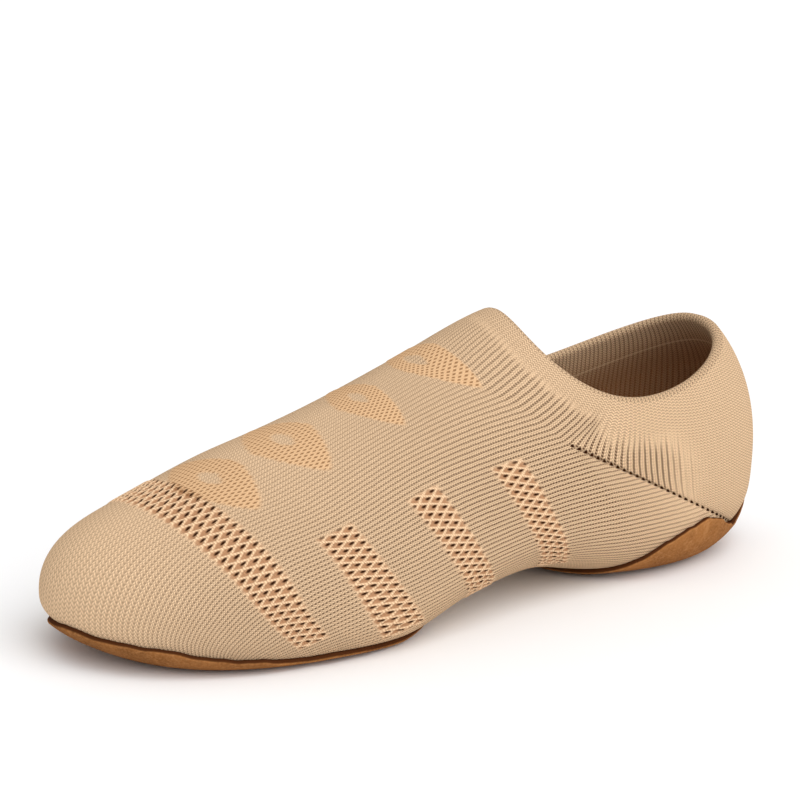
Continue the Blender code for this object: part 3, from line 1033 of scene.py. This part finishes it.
def foam_material():
    """Brushed cloth over foam."""
    graph = Graph("insole_cloth")
    colour = graph.tint(graph.noise(60.0, 2.0), FOAM_DARK, FOAM_LIGHT)
    return graph.cover(colour, 0.95, graph.noise(1800.0, 2.0, 0.6), 0.5, 0.0004)


def pad_reach(outline, half):
    """How far a pad reaches along the sock from its middle, a value for each spoke."""
    turns = column(outline, PAD_COLUMNS, "turn")
    outer = column(outline, PAD_COLUMNS, "outer")
    inner = column(outline, PAD_COLUMNS, "inner")
    reach = np.concatenate([outer, inner[-2:0:-1]]) * half
    around = np.concatenate([turns, 360 - turns[-2:0:-1]])
    around = np.concatenate([around - 360, around, around + 360])
    spokes = 360 * np.arange(PAD_SPOKES) / PAD_SPOKES
    edge = smooth(around, np.tile(reach, 3), spokes)
    for size, waves, start in PAD_WANDER:
        edge = edge + size * np.sin(waves * np.radians(spokes) + start)
    return edge


def pad_skin(middle_x, half, edge):
    """Rings of points on the sock's outer face, from a pad's middle out to its edge."""
    x = middle_x * LENGTH / 2
    eye = np.array([x, section(np.array([x]))["centre"][0], PAD_EYE * THROAT_HEIGHT])
    turn = np.radians(360 * np.arange(PAD_SPOKES) / PAD_SPOKES)
    lift = np.radians(np.linspace(-90, 0, 90))

    def seen(turns, lifts):
        flat = np.cos(lifts)
        ways = np.broadcast_arrays(np.cos(turns) * flat, np.sin(turns) * flat, np.sin(lifts))
        ways = np.stack(ways, axis=-1)
        return land(np.broadcast_to(eye, ways.shape), ways)

    run = run_along(np.swapaxes(seen(turn[:, None], lift[None, :]), 0, 1)).T
    rings = np.linspace(0.02, 1, PAD_RINGS) ** PAD_CROWDING * (1 - PAD_EDGE_ROUND / half)
    lifts = [[np.interp(edge[row] * ring, run[row], lift) for row in range(PAD_SPOKES)] for ring in rings]
    return seen(turn[None, :], np.array(lifts))


def pad(name, middle_x, half, outline):
    """A suede pad with rounded cut edges, hugging the underside of the sock."""
    skin = pad_skin(middle_x, half, pad_reach(outline, half))
    normal = outward(skin)
    inner = skin + normal * (CLEARANCE - PAD_SUNK)
    outer = skin + normal * (CLEARANCE + SUEDE)
    thick = (SUEDE + PAD_SUNK) / 2
    rim_normal = normal[-1]
    rim_out = unit(skin[-1] - skin[-2])
    centre = skin[-1] + rim_normal * (CLEARANCE - PAD_SUNK + thick)
    rim = []
    for angle in np.radians(PAD_RIM_TURNS):
        bulge = math.copysign(min(1.0, abs(math.sin(angle)) * PAD_RIM_SQUARE), math.sin(angle))
        rim.append(centre + rim_normal * thick * bulge + rim_out * PAD_EDGE_ROUND * math.cos(angle))
    loops = np.concatenate([inner, np.stack(rim), outer[::-1]])
    cut = np.zeros(loops.shape[:2])
    cut[PAD_RINGS - 1 : PAD_RINGS + 4] = 1.0
    points = np.concatenate([loops.reshape(-1, 3), inner[:1].mean(axis=1), outer[:1].mean(axis=1)])
    ids = wrap(np.arange(cut.size).reshape(cut.shape))
    quads = np.stack([ids[:-1, :-1], ids[1:, :-1], ids[1:, 1:], ids[:-1, 1:]], axis=-1).reshape(-1, 4)
    faces = [tuple(int(place) for place in face) for face in quads]
    for place in range(PAD_SPOKES):
        faces.append((cut.size, int(ids[0, place]), int(ids[0, place + 1])))
        faces.append((cut.size + 1, int(ids[-1, place + 1]), int(ids[-1, place])))
    piece = new_piece(name, points, faces)
    layer = piece.data.attributes.new("edge", "FLOAT", "POINT")
    layer.data.foreach_set("value", np.concatenate([cut.ravel(), [0, 0]]).astype(np.float32))
    return piece


def stage():
    """A plain white floor and soft studio light."""
    graph = Graph("floor_white")
    graph.put(graph.shader.inputs["Base Color"], FLOOR_WHITE)
    graph.put(graph.shader.inputs["Roughness"], 0.9)
    mesh = bpy.data.meshes.new("studio_floor")
    corners = [(-FLOOR_REACH, -FLOOR_REACH, 0), (FLOOR_REACH, -FLOOR_REACH, 0)]
    corners += [(FLOOR_REACH, FLOOR_REACH, 0), (-FLOOR_REACH, FLOOR_REACH, 0)]
    mesh.from_pydata(corners, [], [(0, 1, 2, 3)])
    mesh.materials.append(graph.material)
    floor = bpy.data.objects.new("studio_floor", mesh)
    bpy.context.scene.collection.objects.link(floor)

    world = bpy.data.worlds.new("studio")
    world.use_nodes = True
    world.node_tree.nodes["Background"].inputs[0].default_value = (1, 1, 1, 1)
    world.node_tree.nodes["Background"].inputs[1].default_value = ROOM_POWER
    bpy.context.scene.world = world

    lamp = bpy.data.lights.new("soft_sun", "SUN")
    lamp.energy = SUN_POWER
    lamp.angle = math.radians(SUN_WIDTH)
    sun = bpy.data.objects.new("soft_sun", lamp)
    sun.rotation_euler = Vector(SUN_FROM).to_track_quat("Z", "Y").to_euler()
    bpy.context.scene.collection.objects.link(sun)


def camera():
    """The view from above the toe, on the outer side."""
    lens = bpy.data.cameras.new("camera")
    lens.angle = 2 * math.atan(HALF_PICTURE / FOCAL_LENGTH)
    lens.clip_start = 0.01
    eye = bpy.data.objects.new("camera", lens)
    right = Vector(CAMERA_RIGHT).normalized()
    up = Vector(CAMERA_UP).normalized()
    place = Matrix((right, up, right.cross(up))).transposed().to_4x4()
    place.translation = Vector((CAMERA_AT - SEAT) * METRES)
    eye.matrix_world = place
    bpy.context.scene.collection.objects.link(eye)
    bpy.context.scene.camera = eye
    bpy.context.scene.view_settings.view_transform = "Standard"


def hand_over(piece, material, node=None):
    """Give a piece its material and its body, and hide the CAD node that it stands for."""
    piece.data.materials.append(material)
    if node:
        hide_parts(node)
    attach(piece, "root")


def main():
    """Make every piece and hand them to the frame."""
    foot, pocket, ankle, left, right = lay_out()
    knitting = Knitting(foot, ankle, left, right)
    grids = (wrap(foot), wrap(pocket)[:, left : right + 1], wrap(ankle))
    makers = (foot_patch, pocket_patch, ankle_patch)
    patches = [maker(knitting, grid) for maker, grid in zip(makers, grids)]
    knit = knit_material()
    skin = weave("knit_skin", patches + [band_patch(knitting, grids[-1])], left, right)
    hand_over(skin, knit, "knit_upper")
    lining = weave("knit_lining", lining_patches(patches, grids), left, right)
    lining.data.flip_normals()
    hand_over(lining, knit)

    suede = suede_material()
    forefoot = pad("forefoot_suede", FOREFOOT_PAD_X, FOREFOOT_PAD_HALF, FOREFOOT_OUTLINE)
    hand_over(forefoot, suede, "forefoot_sole")
    heel = pad("heel_suede", HEEL_PAD_X, HEEL_PAD_HALF, HEEL_OUTLINE)
    hand_over(heel, suede, "heel_sole")

    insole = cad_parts["insole"]
    insole.data.materials.clear()
    insole.data.materials.append(foam_material())

    stage()
    camera()


main()
